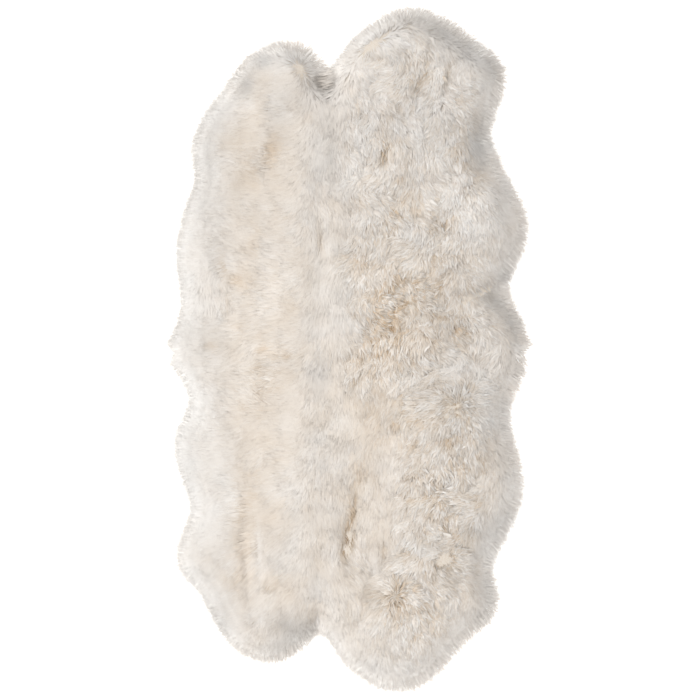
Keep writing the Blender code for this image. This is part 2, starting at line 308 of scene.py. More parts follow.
# patches of the fleece: place and half sizes, what they add to the tone (up is tan), the lightness, the
# coarseness and the height in mm, and their turn in degrees from straight up; what a row leaves out is 0
# the tone and lightness here are partly the wool's own colour and partly painted shade, darker and tanner in
# hollows, grooves and clefts and along rims facing right
patchColumns = ("x", "y", "across", "along", "tone", "light", "coarse", "rise", "turn")
patches = [
    # upper left pelt: a greyish neck and a tan hollow, both darkened by painted shade, tufted edge, painted
    # shade in the groove along the seam
    (-270, 685, 26, 36, -0.05, -0.5), (-325, 670, 16, 70, 0, 0.18, 0, 0, 30),
    (-194, 786, 42, 14, 0, 0.15), (-102, 720, 18, 24, 0, 0.1),
    (-35, 728, 18, 26, -0.08, 0.3), (-230, 755, 25, 20, -0.08, -0.29),
    (-160, 758, 60, 35, -0.19), (-70, 700, 22, 22, 0.2, -0.5, 0, -3),
    (-170, 640, 48, 58, -0.04, -0.21), (-180, 550, 31, 84, 0, -0.15),
    (-200, 512, 22, 42, 0.26, 0.12, 0.3, -3, 10), (-45, 525, 18, 118, 0, -0.35),
    (-65, 490, 40, 80, 0, -0.12), (-10, 432, 22, 30, -0.04, -0.12),
    (-70, 575, 24, 24, 0.08, -0.14), (-370, 485, 21, 52, 0, -0.25),
    (-245, 340, 20, 150, 0.09, 0.05), (-95, 360, 36, 150, -0.07),
    (-70, 209, 22, 60, -0.09), (-24, 195, 16, 22, -0.06, 0.18),
    (-333, 248, 20, 52, 0.1, 0.06), (-333, 175, 26, 24, 0.04, 0.2),
    (-75, 290, 10, 45, 0.22, 0, 0, -4, -5), (-330, 215, 9, 22, 0.2, 0, 0.2, -4, -30),
    (-295, 180, 14, 26, 0.15, 0.12, 0.3, -3, -50), (-340, 115, 26, 66, -0.05, 0.25, 0, 0, -20),
    (-315, 110, 16, 42, 0.14, 0, 0.5, -3, -10), (-285, 60, 12, 18, 0.12, 0.1, 0.3, -2, -30),
    (-305, 65, 22, 22, -0.05, 0.2), (-195, 105, 66, 118, 0, 0.09),
    (-360, 10, 12, 14, 0.2, 0, 0, -4), (-195, -5, 68, 18, 0, 0.19),
    (-160, -15, 12, 12, 0.2, 0, 0.2, -3), (-228, 0, 12, 12, 0.16, 0, 0.2, -3),
    (-85, -20, 16, 22, 0.06, -0.2),
    # lower left pelt: tan tufts below the cross seam, a lighter strip along its middle, a hollow in painted
    # shade
    (-215, -70, 50, 60, 0.1, 0, 0.4), (-312, -54, 80, 38, 0.04, 0.08),
    (-234, -100, 26, 38, 0, 0.14), (-65, -65, 21, 58, 0, -0.25),
    (-92, -172, 21, 66, -0.04, 0.16), (-213, -165, 38, 32, 0.08, -0.06, 0, 0, 20),
    (-312, -210, 80, 92, 0.04, 0.09), (-66, -306, 14, 32, 0, -0.22),
    (-97, -330, 16, 52, -0.07, 0.11), (-422, -316, 20, 95, 0, -0.12),
    (-118, -395, 21, 290, 0, 0.15), (-129, -461, 22, 32, 0, -0.14),
    (-260, -321, 42, 38, 0.06, 0.07), (-286, -382, 22, 16, -0.1),
    (-265, -434, 16, 42, 0, -0.13), (-136, -460, 26, 160, -0.1, -0.03),
    (-318, -408, 39, 79, -0.12, 0.1), (-265, -425, 60, 40, 0.1, 0, 0.1, -1),
    (-273, -500, 21, 118, 0.12, 0.12), (-240, -540, 13, 90, -0.12, 0, 0, 5),
    (-360, -520, 36, 90, 0.05, -0.02), (-333, -592, 20, 62, 0.06, 0.08),
    (-172, -580, 36, 40, -0.1, -0.04), (-55, -610, 36, 40, 0.04, -0.12),
    (-275, -590, 26, 36, 0.1, 0.15, 0, -2, -20), (-200, -610, 20, 20, 0.08, 0, 0.5),
    (-220, -697, 60, 28, -0.08, -0.1), (-95, -700, 24, 40, 0.06, -0.04, 0.1, -3, 30),
    (-207, -762, 42, 32, -0.09, -0.06), (-130, -735, 38, 48, 0, -0.13),
    (-168, -723, 31, 31, 0, -0.35), (-333, -710, 47, 58, 0, -0.22),
    (-245, -775, 32, 30, 0.04, -0.2, 0.2, -3),
    # upper right pelt: painted shade on its shoulder and down its right rim, brown hollows and the deep
    # cleft in painted shade, fans towards the right rim
    (173, 707, 210, 210, -0.1), (134, 884, 62, 18, 0, -0.25),
    (90, 812, 65, 32, -0.2, 0.04), (76, 686, 16, 26, 0.04, -0.16),
    (139, 644, 20, 16, 0.07, -0.16), (29, 760, 92, 118, 0, 0.15),
    (67, 768, 24, 20, 0.06, -0.2, 0.1, -2), (239, 832, 38, 20, 0, -0.1, 0, 0, -20),
    (278, 800, 37, 94, -0.05, -0.3, 0, 0, -56), (385, 745, 26, 48, 0, -0.27, 0, 0, -20),
    (186, 708, 22, 38, 0.16, -0.25, 0.1, -4, 8), (231, 728, 15, 38, -0.08, 0.13, 0, 2, 20),
    (256, 718, 9, 42, 0.18, 0, 0.1, -5, 25), (286, 700, 20, 18, -0.09, 0.14, 0, 2),
    (252, 645, 24, 24, -0.08, 0.32, 0, 2), (42, 607, 26, 20, 0.09, -0.22),
    (112, 600, 26, 46, 0.09, -0.2, 0, 0, 15), (185, 618, 32, 42, 0.04, -0.12),
    (310, 590, 30, 40, 0.14, 0, 0.3, -3, -20), (350, 598, 22, 55, 0.07, -0.12),
    (240, 550, 38, 38, -0.08, -0.13), (92, 518, 11, 34, 0.28, -0.08, 0, -7, 12),
    (173, 523, 22, 22, 0.02, -0.19), (328, 523, 34, 66, 0, -0.5),
    (285, 500, 30, 40, 0.08, 0, 0.2, 0, -30), (121, 440, 20, 20, 0.08, -0.17),
    (42, 445, 37, 70, -0.05, 0.23), (213, 413, 24, 63, 0, 0.3, 0, 0, 20),
    (200, 392, 28, 28, -0.1), (108, 350, 52, 48, 0.08, 0.08, 0.1),
    (110, 350, 16, 50, 0.14, 0, 0.1, -3, 40), (240, 330, 34, 26, 0.16, 0, 0.4, -3),
    (318, 353, 30, 52, -0.12, 0.34, 0, 0, 10), (355, 320, 42, 35, -0.05, -0.12),
    (449, 350, 16, 60, 0, 0.12), (396, 350, 18, 50, -0.03, -0.19),
    (8, 314, 22, 28, -0.05, 0.15), (34, 270, 20, 50, 0.03, 0.13),
    (147, 274, 26, 22, 0.06, -0.18), (315, 235, 40, 70, -0.09, 0.02),
    # tan curls in the middle of the right side, and the crease from them to the right rim, with painted
    # shade along that rim
    (29, 195, 30, 32, 0.03, 0.18), (165, 150, 75, 60, 0.18, 0, 0.35, -2),
    (47, 135, 22, 16, -0.08, 0.22), (94, 130, 58, 92, 0, 0.2),
    (94, 106, 24, 24, -0.24, 0.25), (121, 190, 20, 22, -0.05, 0.1),
    (199, 122, 22, 22, 0.14, 0.06), (270, 142, 28, 22, 0.08, -0.1),
    (110, 90, 70, 75, 0.2, 0.12, 0.4, -2), (105, 62, 26, 9, 0.28, 0.1, 0.2, -3, 15),
    (262, 50, 50, 65, 0.11, 0, 0.1), (260, 64, 31, 31, 0.1, -0.32),
    (213, 12, 32, 26, 0.14, 0.09), (105, 0, 75, 32, 0.05, 0.3),
    (-5, -15, 42, 42, 0.02, 0.17), (417, 195, 18, 24, 0, -0.3),
    (340, 168, 12, 70, 0.16, 0, 0, -8, 62), (380, 125, 26, 60, 0, -0.45, 0, 0, -50),
    (344, 130, 38, 16, 0, -0.26), (425, 150, 16, 40, 0, 0.2),
    (349, 72, 26, 30, -0.1, -0.06), (344, 88, 24, 26, -0.1, 0.15),
    (436, 50, 18, 52, -0.02, -0.26, 0, 0, -20),
    # lower right pelt: the starburst, the long groove in painted shade, painted shade along the right rim,
    # the curly dome near the bottom
    (396, -54, 22, 22, 0, 0.2), (68, -106, 73, 157, 0.14, 0.1),
    (94, -95, 36, 50, 0.05, 0.23), (215, -175, 80, 50, 0.08, 0.04),
    (432, -95, 16, 60, 0, 0.15), (445, -345, 14, 70, 0, 0.12),
    (213, -119, 40, 24, 0.1, -0.05), (396, -133, 22, 60, 0.07, -0.06),
    (286, -155, 22, 22, 0.16, 0, 0.4, -4), (286, -164, 79, 94, 0, -0.25),
    (120, -200, 14, 12, 0.2, 0, 0, -4), (178, -235, 9, 14, 0.2, 0, 0, -4),
    (160, -237, 38, 22, 0, 0.26), (81, -216, 38, 22, 0.02, 0.12),
    (68, -264, 44, 32, 0.06), (270, -265, 10, 32, 0.22, 0, 0.1, -5, -40),
    (278, -316, 32, 22, -0.05, 0.22), (35, -320, 18, 24, 0.06, 0.05, 0, -1),
    (173, -369, 79, 144, 0, 0.15), (250, -390, 70, 120, 0.08, 0, 0.35),
    (4, -441, 12, 90, 0.24, -0.05, 0, -5, 12), (-6, -520, 13, 35, 0.22, -0.3, 0, -4, 12),
    (5, -510, 14, 32, 0.2, -0.25, 0, 0, 10), (0, -445, 24, 100, 0.12, 0.02, 0, 0, 8),
    (278, -461, 28, 28, -0.03, 0.22), (323, -461, 52, 94, 0, -0.22),
    (409, -461, 26, 38, 0.02, -0.15), (68, -500, 44, 38, 0.03, 0.12),
    (226, -513, 48, 26, 0.02, -0.22), (344, -579, 20, 68, 0.09, 0.1),
    (374, -575, 18, 60, 0.03, 0.2), (90, -530, 10, 22, 0.16, 0, 0, -3, -10),
    (328, -535, 26, 110, 0.09, 0, 0, 0, 5), (240, -556, 20, 16, 0.1, -0.45, 0.2, -4),
    (121, -598, 36, 28, -0.12, 0.45), (205, -645, 30, 45, 0.08, 0.2),
    (128, -600, 20, 12, 0.14, 0.1, 0, -3), (357, -618, 31, 47, 0, -0.2),
    (60, -636, 26, 26, 0.15, -0.25), (120, -668, 70, 66, 0.16, 0.12, 0.45, 2),
    (181, -689, 71, 73, -0.05, 0.2), (108, -678, 26, 16, -0.12),
    (213, -731, 28, 28, 0, 0.15), (108, -741, 38, 18, -0.03, 0.12),
    (304, -723, 26, 32, 0.02, 0.13), (240, -800, 20, 80, 0, 0.14, 0, 0, 50),
    (150, -862, 50, 16, 0, 0.14), (357, -723, 32, 54, 0.02, -0.1, 0, 0, 40),
    (-24, -731, 32, 32, 0, -0.12), (42, -815, 34, 28, 0, -0.15),
]


def patchSum(x, y, column):
    total = np.zeros_like(x)
    for row in patches:
        patch = dict.fromkeys(patchColumns, 0) | dict(zip(patchColumns, row))
        turn = math.radians(patch["turn"])
        offX, offY = x - patch["x"] * mm, y - patch["y"] * mm
        across = offX * math.cos(turn) - offY * math.sin(turn)
        along = offX * math.sin(turn) + offY * math.cos(turn)
        spread = (across / (patch["across"] * mm)) ** 2 + (along / (patch["along"] * mm)) ** 2
        total += patch[column] * np.exp(-spread)
    return total


def fromSeam(x):
    return x - lay["seam"] * mm


tufting = {
    "left": 0.16,
    "right": 0.55,  # so much more on the right
    "sides": (30 * mm, 100 * mm),  # from left to right, past the seam
    "softened": 0.8,  # the share of it that a smooth band beside the seam takes away
    "bandTop": (-60 * mm, -120 * mm),
    "bandSide": (170 * mm, 250 * mm),
    "clouds": [(70 * mm, 0.14, 5)],
    "least": 0.04,
    "rim": (10 * mm, 85 * mm),  # inwards: smooth up to the first, fully tufted from the second
    "leftAtRim": 0.12,
}


def coarseness(x, y):  # 0 is combed smooth, 1 is in open, curly locks
    rightSide = smoothStep(*tufting["sides"], fromSeam(x))
    softBand = smoothStep(*tufting["bandTop"], y) * (1 - smoothStep(*tufting["bandSide"], fromSeam(x)))
    base = tufting["left"] + tufting["right"] * rightSide * (1 - tufting["softened"] * softBand)
    base += clouds(x, y, tufting["clouds"]) + patchSum(x, y, "coarse")
    rimSmooth = smoothStep(*tufting["rim"], readField("inwards", x, y))
    atRim = tufting["leftAtRim"]
    return np.clip(base, tufting["least"], 1) * (atRim + (1 - atRim) * rimSmooth)


# the wool's colour before the patches: how tan it is, and how light; the lightness mixes the wool's own
# greyness with painted shade and painted light
colouring = {
    "tone": 0.40,
    "rightTone": -0.02,
    "seamTone": -0.05,
    "farLeftTone": -0.14,
    "rimTone": -0.16,
    "rimWidth": 80 * mm,
    "toneClouds": [(90 * mm, 0.07, 11), (38 * mm, 0.06, 12)],
    "light": 0.76,
    "lightClouds": [(60 * mm, 0.06, 13)],
    "seamLight": -0.06,
    "farLeftLight": -0.16,
    "fringePaintedLight": 0.2,  # painted light on the fringe, on the sides that don't face right
    "shade": -0.14,  # painted shade in the band just inside the fringe
    "rightShade": -0.12,  # and so much more painted shade where it faces right
    "fringeEnds": (-12 * mm, 4 * mm),
    "shadeEnds": (5 * mm, 60 * mm),
    "sides": (-10 * mm, 60 * mm),
    "seamWidth": 35 * mm,
    "toneFrom": (-200 * mm, -280 * mm),  # the far left, from the seam
    "lightFrom": (-190 * mm, -270 * mm),
}
facingRight = (-0.2, 0.5)  # the outward way's share to the right, from not facing right to facing it


def facesRight(x, y):
    return smoothStep(*facingRight, readField("outX", x, y))


def tone(x, y):  # 0 is white wool, 1 is tan
    own = colouring
    rightSide = smoothStep(*own["sides"], fromSeam(x))
    base = own["tone"] + own["rightTone"] * rightSide
    base += own["seamTone"] * nearness(fromSeam(x), own["seamWidth"])
    base += own["farLeftTone"] * smoothStep(*own["toneFrom"], fromSeam(x))
    base += own["rimTone"] * (1 - smoothStep(0, own["rimWidth"], readField("inwards", x, y)))
    return base + clouds(x, y, own["toneClouds"]) + patchSum(x, y, "tone")


def lightnessWithPaintedLightAndShade(x, y):  # below 1 the wool is drawn darker: partly its own greyness, partly painted shade in the band inside the rim, more where it faces right; painted light lifts the fringe on the other sides
    own = colouring
    base = own["light"] + clouds(x, y, own["lightClouds"]) + patchSum(x, y, "light")
    inwards, right = readField("inwards", x, y), facesRight(x, y)
    base += own["fringePaintedLight"] * (1 - right) * (1 - smoothStep(*own["fringeEnds"], inwards))
    band = smoothStep(*own["fringeEnds"], inwards) * (1 - smoothStep(*own["shadeEnds"], inwards))
    base += (own["shade"] + own["rightShade"] * right) * band
    base += own["farLeftLight"] * smoothStep(*own["lightFrom"], fromSeam(x))
    return base + own["seamLight"] * nearness(fromSeam(x), own["seamWidth"])


def nearBurst(x, y):  # 1 where a tuft parts
    near = np.zeros_like(x)
    for whorl in whorls:
        apart = np.hypot(x - whorl["fromX"] * mm, y - whorl["fromY"] * mm)
        near = np.maximum(near, nearness(apart, burstWidth))
    return near


def whorlPulls(x, y):  # each whorl, with how strongly it turns the wool at each place
    for whorl in whorls:
        apart = np.hypot(x - whorl["x"] * mm, y - whorl["y"] * mm)
        yield whorl, whorl["pull"] * nearness(apart, whorl["reach"] * mm)


def flow(x, y):  # the way the wool lies
    rightSide = smoothStep(*lay["sides"], fromSeam(x))
    nearSeam = nearness(fromSeam(x), lay["seamWidth"])
    low = smoothStep(*lay["turnsDown"], y)
    (leftX, leftY), (rightX, rightY) = lay["leftWay"], lay["rightWay"]
    wayX = (1 - rightSide) * leftX * (1 - nearSeam) + rightSide * rightX
    wayY = (1 - rightSide) * (leftY - lay["turnedBy"] * low)
    wayY = wayY - nearSeam * lay["seamPull"] + rightSide * rightY
    loose = coarseness(x, y)
    waves = ((turn + more * loose) * cloudNoise(x, y, size, seed) for size, turn, more, seed in lay["waves"])
    wayX, wayY = turned(wayX, wayY, sum(waves))
    for whorl, pull in whorlPulls(x, y):
        offX, offY = x - whorl["fromX"] * mm, y - whorl["fromY"] * mm
        away = np.hypot(offX, offY) + 5 * mm  # calmer right at the middle
        swirlX, swirlY = turned(offX / away, offY / away, math.radians(whorl["swirl"]))
        wayX, wayY = wayX + pull * swirlX, wayY + pull * swirlY
    rim = lay["rimPull"] * (1 - smoothStep(0, lay["rimWidth"], readField("inwards", x, y)))
    wayX = wayX + rim * readField("outX", x, y)
    wayY = wayY + rim * readField("outY", x, y)
    length = np.hypot(wayX, wayY) + 1e-9
    return wayX / length, wayY / length


def turned(x, y, angle):
    return x * np.cos(angle) - y * np.sin(angle), x * np.sin(angle) + y * np.cos(angle)


fleece = {
    "seed": 31,
    "spacing": 2.28 * mm,  # between the roots of two strands
    "kept": 0.92,  # strands that grow at each place
    "keptAtRim": 1.85,
    "rimBand": 16 * mm,  # they grow so densely in this width
    "bareEdge": 3 * mm,  # nothing grows closer to the rim than this
    "length": 44 * mm,
    "lengths": (0.6, 1.2),  # the shortest and the longest, as shares of that
    "tuftedLength": 0.4,  # so much shorter in tufts
    "burstLength": 0.65,  # and where a tuft parts
    "width": 0.95 * mm,  # a strand's half width at its widest
    "widths": (0.7, 1.2),
    "widthAtRim": 0.35,  # as a share
    "tuftedWidth": 0.15,  # so much wider in tufts
    "depth": 5 * mm,  # its root lies this far under the surface
    "floorGap": 0.7 * mm,
    "leastBend": 0.3 * mm,  # a strand's belly is at least this far above the line from root to tip
    "rimWidth": 35 * mm,  # strands are finer, straighter and flatter in this width
    "lockSize": 15 * mm,
    "tuftSize": 52 * mm,
    "stray": (0.07, 0.16, 0.10),  # radians: everywhere, more in tufts, more at the rim
    "swing": (0.45, 0.55),  # how far a lock and a tuft turn as one, in radians
    "gather": (0.12, 0.40),  # a lock's strands come together at its tip: everywhere, more in tufts
    "fan": 0.30,  # a tuft's strands spread
    "bow": 0.07,  # a strand curves sideways by this share of its length
    "belly": (0.45, 0.17),  # its belly's place along it, and how much further at the rim
    "lockRise": 3.0 * mm,  # its middle stands proud of its edge
    "tuftRise": 9,  # mm
    "sunk": (-1.6, 0.2),  # mm, a strand's depth in its tuft
    "tipLift": (-1.0, 3.5),  # mm, in tufts
}


# the fringe lies on the floor around the rug
skirting = {
    "reach": 45 * mm,  # the most that a strand passes the rim, before the fringe's growth below
    "reachFades": (8 * mm, 24 * mm),  # strands rooted further inside end sooner
    "least": 9,  # mm; at most so much more where it doesn't face right, and where it does
    "leftLeast": 21,
    "rightLeast": 35,
    "underShare": 0.15,  # of the strands nearest the rim, those that hang from beneath it
    "underBand": 14 * mm,
    "underReach": 3 * mm,
    "underHeights": (3, 13),  # mm
    "rightGrowth": 5 * mm,  # longer where the rim faces right
    "growsIn": 30 * mm,  # strands rooted in this width grow longer
    "paintedLightEnds": (-24 * mm, 2 * mm),  # inwards: where its tips get the most painted light, drawn palest, and where that stops
    "rightPaintedLightCut": 0.35,  # so much less painted light where it faces right
}

# where it is longer or shorter than elsewhere: a place, its half size and the difference, all in mm
fringe = [
    (401, 739, 70, 5), (170, 889, 90, 6),
    (-120, 805, 50, 8), (202, -872, 90, 11),
    (344, -736, 80, 10), (462, 5, 70, 5),
    (330, -580, 50, -7), (420, 130, 40, -6),
    (-18, 773, 40, -9), (-60, -752, 40, -9),
    (-433, 210, 110, -3), (-404, -618, 50, -3),
]


def fringeGrowth(x, y):
    total = skirting["rightGrowth"] * readField("outX", x, y)
    for placeX, placeY, size, growth in fringe:
        apart = np.hypot(x - placeX * mm, y - placeY * mm)
        total += growth * mm * nearness(apart, size * mm)
    return total


def rootPlaces(rng):
    spacing = fleece["spacing"]
    columns = np.arange(gridX[0], gridX[-1], spacing)
    rows = np.arange(gridY[0], gridY[-1], spacing)
    x, y = (places.ravel() for places in np.meshgrid(columns, rows))
    inwards = readField("inwards", x, y)
    share = np.where(inwards < fleece["rimBand"], fleece["keptAtRim"], fleece["kept"])
    share = share * (inwards > fleece["bareEdge"])
    times = np.floor(share + rng.uniform(0, 1, x.shape)).astype(int)
    x, y = np.repeat(x, times), np.repeat(y, times)
    return (places + rng.uniform(-0.5, 0.5, x.shape) * spacing for places in (x, y))


# how a strand's shade differs from its neighbours'
mixing = {
    "seenAt": 0.6,  # a strand takes its place's colour this far from root to tip
    "locks": (0.02, 0.08),  # how far locks differ in tone: everywhere, more in tufts
    "tufts": 0.6,  # a tuft's share beside a lock's
    "strands": 0.03,
    "paintedShadeBetweenTufts": 0.22,  # painted shade: a deeper, tanner tone between tufts, and between locks
    "paintedShadeBetweenLocks": 0.10,
    "edge": 0.38,  # from here outwards a lock or tuft counts as its edge, as a share of its size
    "paintedHighlightShare": 0.3,  # strands drawn whiter than the rest in tufts, as painted highlights
    "paintedHighlightWhitening": 0.22,
    "warmRoot": 0.34,  # in tufts a root is more tan than its strand
    "softness": (0.88, 0.30),  # how far shading follows the fleece's surface, less in tufts
}


def growStrands():
    rng = np.random.default_rng(fleece["seed"])
    x, y = rootPlaces(rng)
    count = len(x)

    def draw(low=0, high=1):
        return rng.uniform(low, high, count)

    coarse, burst, inwards = coarseness(x, y), nearBurst(x, y), readField("inwards", x, y)
    lockX, lockY, lockOff, lock = nearestLock(x, y, fleece["lockSize"], 41)
    tuftX, tuftY, tuftOff, tuft = nearestLock(x, y, fleece["tuftSize"], 42)
    lockEdge, tuftEdge = lockOff / fleece["lockSize"], tuftOff / fleece["tuftSize"]
    wayX, wayY = flow(x, y)
    atRim = 1 - smoothStep(0, skirting["growsIn"], inwards)
    inner = smoothStep(0, fleece["rimWidth"], inwards)
    everywhere, inTufts, nearRim = fleece["stray"]
    stray = rng.normal(0, 1, count) * (everywhere + inTufts * coarse + nearRim * atRim)
    calm = 1 - 0.8 * np.clip(sum(pull for _, pull in whorlPulls(x, y)) / 2, 0, 1)
    lockSwing, tuftSwing = fleece["swing"]
    swing = coarse * calm * (lockSwing * perLock(lock, 51) + tuftSwing * perLock(tuft, 52)) + stray
    wayX, wayY = turned(wayX, wayY, swing)
    length = fleece["length"] * (1.1 - fleece["tuftedLength"] * coarse)
    length = length * draw(*fleece["lengths"]) * (1 - fleece["burstLength"] * burst)
    growth = fringeGrowth(x, y)
    length += growth * atRim
    # a lock's strands come together at its tip, and a tuft's spread like a fan
    everywhere, inTufts = fleece["gather"]
    gather, spread = everywhere * inner + inTufts * coarse, fleece["fan"] * coarse * (1 - burst)
    tipX = x + wayX * length + (lockX - x) * gather + (x - tuftX) * spread
    tipY = y + wayY * length + (lockY - y) * gather + (y - tuftY) * spread
    # strands at the rim end where the fringe does, and some hang from beneath it
    under = np.where(inwards < skirting["underBand"], skirting["underShare"], 0.0)
    under = draw() < under
    reach = skirting["reach"] * draw()
    reach = reach * (1 - smoothStep(*skirting["reachFades"], inwards))
    right = facesRight(x, y)
    least = skirting["least"] + skirting["leftLeast"] * draw() * (1 - right)
    least = least + skirting["rightLeast"] * draw() ** 1.5 * right
    reach = np.maximum(reach, least * mm) + growth
    reach = np.where(under, skirting["underReach"], reach)
    past = readField("inwards", tipX, tipY)
    share = np.where(past < -reach, (inwards + reach) / (inwards - past + 1e-9), 1.0)
    tipX, tipY = x + (tipX - x) * share, y + (tipY - y) * share
    bow = rng.normal(0, fleece["bow"], count) * length * (0.5 + 1.5 * coarse) * (0.1 + 0.9 * inner)
    bellyAt, rimBelly = fleece["belly"]
    belly = bellyAt + rimBelly * (1 - inner)
    bellyX = x + (tipX - x) * belly - wayY * bow
    bellyY = y + (tipY - y) * belly + wayX * bow
    # heights: the solids' surface, lumps of locks and tufts, and each strand's own depth
    lump = patchSum(x, y, "rise") * mm + coarse * fleece["lockRise"] * (0.45 - lockEdge)
    lump += (0.1 + coarse) * fleece["tuftRise"] * mm * (0.42 - tuftEdge + 0.25 * perLock(tuft, 53))
    lump *= inner
    rootZ = readField("height", x, y) + lump - fleece["depth"] * (1 - 0.5 * burst)
    rootZ = np.where(under, draw(*skirting["underHeights"]) * mm, rootZ)
    sunk = draw(*fleece["sunk"]) * (0.5 + coarse) * mm
    bellyZ = readField("height", bellyX, bellyY) + lump + sunk
    tipZ = readField("height", tipX, tipY) + lump + sunk
    tipZ += coarse * draw(*fleece["tipLift"]) * mm * inner + 3 * mm * burst
    bellyZ = np.where(under, (rootZ + np.minimum(rootZ, tipZ)) / 2 + mm, bellyZ)
    low = fleece["floorGap"]
    rootZ, tipZ = np.maximum(rootZ, low), np.maximum(tipZ, low)
    bellyZ = np.maximum(bellyZ, low + 0.5 * mm)
    # a strand's tone: its place in the fleece, its lock and tuft, painted shade between tufts and between
    # locks, and now and then a whiter strand as a painted highlight
    seenX, seenY = x + mixing["seenAt"] * (tipX - x), y + mixing["seenAt"] * (tipY - y)
    everywhere, inTufts = mixing["locks"]
    ownTone = perLock(lock, 61) + mixing["tufts"] * perLock(tuft, 62)
    shade = tone(seenX, seenY) + (everywhere + inTufts * coarse) * ownTone
    shade += mixing["strands"] * rng.normal(0, 1, count) * (0.3 + coarse)
    paintedShadeBetweenTufts = mixing["paintedShadeBetweenTufts"] * coarse * (tuftEdge - mixing["edge"])
    shade += paintedShadeBetweenTufts + mixing["paintedShadeBetweenLocks"] * coarse * (lockEdge - mixing["edge"])
    shade -= np.where(draw() < mixing["paintedHighlightShare"], mixing["paintedHighlightWhitening"] * coarse, 0)
    width = fleece["width"] * draw(*fleece["widths"])
    narrow = fleece["widthAtRim"]
    ownLight = mixing["strands"] * rng.normal(0, 1, count) * (0.5 + coarse)
    # painted light at the fringe tips: drawn whiter and lighter where they lie past the rim
    paintedTipLightShare = 1 - smoothStep(*skirting["paintedLightEnds"], readField("inwards", tipX, tipY))
    follows, lessInTufts = mixing["softness"]
    return {
        "root": np.stack([x, y, rootZ], 1),
        "belly": np.stack([bellyX, bellyY, bellyZ], 1),
        "tip": np.stack([tipX, tipY, tipZ], 1),
        "width": width * (narrow + (1 - narrow) * inner + fleece["tuftedWidth"] * coarse),
        "paintedTipLight": paintedTipLightShare * (1 - skirting["rightPaintedLightCut"] * facesRight(tipX, tipY)),
        "warmRoot": mixing["warmRoot"] * (0.2 + 0.8 * coarse) * inner,
        "light": np.clip(lightnessWithPaintedLightAndShade(seenX, seenY) + ownLight, 0.04, 0.96),
        "softness": follows - lessInTufts * coarse,
        "shade": np.clip(shade, 0.02, 0.94),
        "pelt": readField("pelt", x, y),
    }


def unit(vectors):
    return vectors / (np.linalg.norm(vectors, axis=1, keepdims=True) + 1e-12)


# each strand is a closed blade of four faces; its corners are its root, its tip and two across its belly
blade = {
    "faces": [[0, 3, 2], [1, 2, 3], [0, 2, 1], [0, 1, 3]],
    "lowerFaces": [0.0, 0.0, 1.0, 1.0],
    # each corner's place on the wool's map: across it goes from white to tan, up it gets lighter, which
    # carries painted shade and painted light as well as the wool's greyness
    "warmth": [1.0, 0.0, 0.3, 0.3],  # the root is more tan
    "apart": [0.0, 0.0, -0.004, 0.004],
    "rise": [-0.03, 0.03, 0.0, 0.0],
    "paintedWhitening": [0.0, 0.95, 0.5, 0.5],  # painted light in the fringe: how far each corner is drawn whiter, and in the next row lighter
    "paintedLightening": [0.0, 0.4, 0.12, 0.12],
    "end": (0.98, 0.97),  # no further across or up
    "rimWidth": 25 * mm,  # here lower faces keep their own shading, because they show from beneath
}


def strandMesh(name, strands):
    root, belly, tip = strands["root"], strands["belly"], strands["tip"]
    parts = ("width", "shade", "warmRoot", "light", "paintedTipLight")
    width, shade, warm, light, paintedTipLight = (strands[part][:, None] for part in parts)
    along = unit(tip - root)
    side = unit(np.cross(along, [0.0, 0.0, 1.0]))
    over = np.cross(side, along)
    bend = np.sum((belly - root) * over, axis=1, keepdims=True)
    belly = belly + over * np.maximum(fleece["leastBend"] - bend, 0)
    corners = np.stack([root, tip, belly - side * width, belly + side * width], 1).reshape(-1, 3)
    faces = (np.arange(len(root))[:, None, None] * 4 + np.array(blade["faces"])).reshape(-1, 3)
    mesh = bpy.data.meshes.new(name)
    mesh.vertices.add(len(corners))
    mesh.vertices.foreach_set("co", corners.ravel())
    mesh.loops.add(faces.size)
    mesh.loops.foreach_set("vertex_index", faces.ravel())
    mesh.polygons.add(len(faces))
    mesh.polygons.foreach_set("loop_start", np.arange(len(faces)) * 3)
    mesh.polygons.foreach_set("use_smooth", np.ones(len(faces), bool))
    apart = np.array(blade["apart"])
    across = (shade + warm * blade["warmth"] + apart) * (1 - paintedTipLight * blade["paintedWhitening"])
    across = np.minimum(across, blade["end"][0] + apart).ravel()
    up = np.minimum(light + blade["rise"] + paintedTipLight * blade["paintedLightening"], blade["end"][1]).ravel()
    uv = np.stack([across[faces.ravel()], up[faces.ravel()]], 1)
    mesh.uv_layers.new(name="OFBake").data.foreach_set("uv", uv.ravel())
    mesh.update()
    places = corners[:, :2].T
    slopeX, slopeY = readField("slopeX", *places), readField("slopeY", *places)
    surface = unit(np.stack([-slopeX, -slopeY, np.ones(len(corners))], 1))
    own = np.zeros(len(corners) * 3)
    mesh.vertices.foreach_get("normal", own)
    soft = np.repeat(strands["softness"], 4)[:, None]
    blended = unit(surface * soft + own.reshape(-1, 3) * (1 - soft))[faces.ravel()]
    first, second, third = (corners[faces[:, n]] for n in range(3))
    facing = np.repeat(unit(np.cross(second - first, third - first)), 3, axis=0)
    lower = np.tile(np.repeat(blade["lowerFaces"], 3), len(root))[:, None]
    atRim = 1 - smoothStep(0, blade["rimWidth"], readField("inwards", *places))
    lower *= atRim[faces.ravel()][:, None]
    mesh.normals_split_custom_set(unit(blended * (1 - lower) + facing * lower))
    return addObject(mesh)


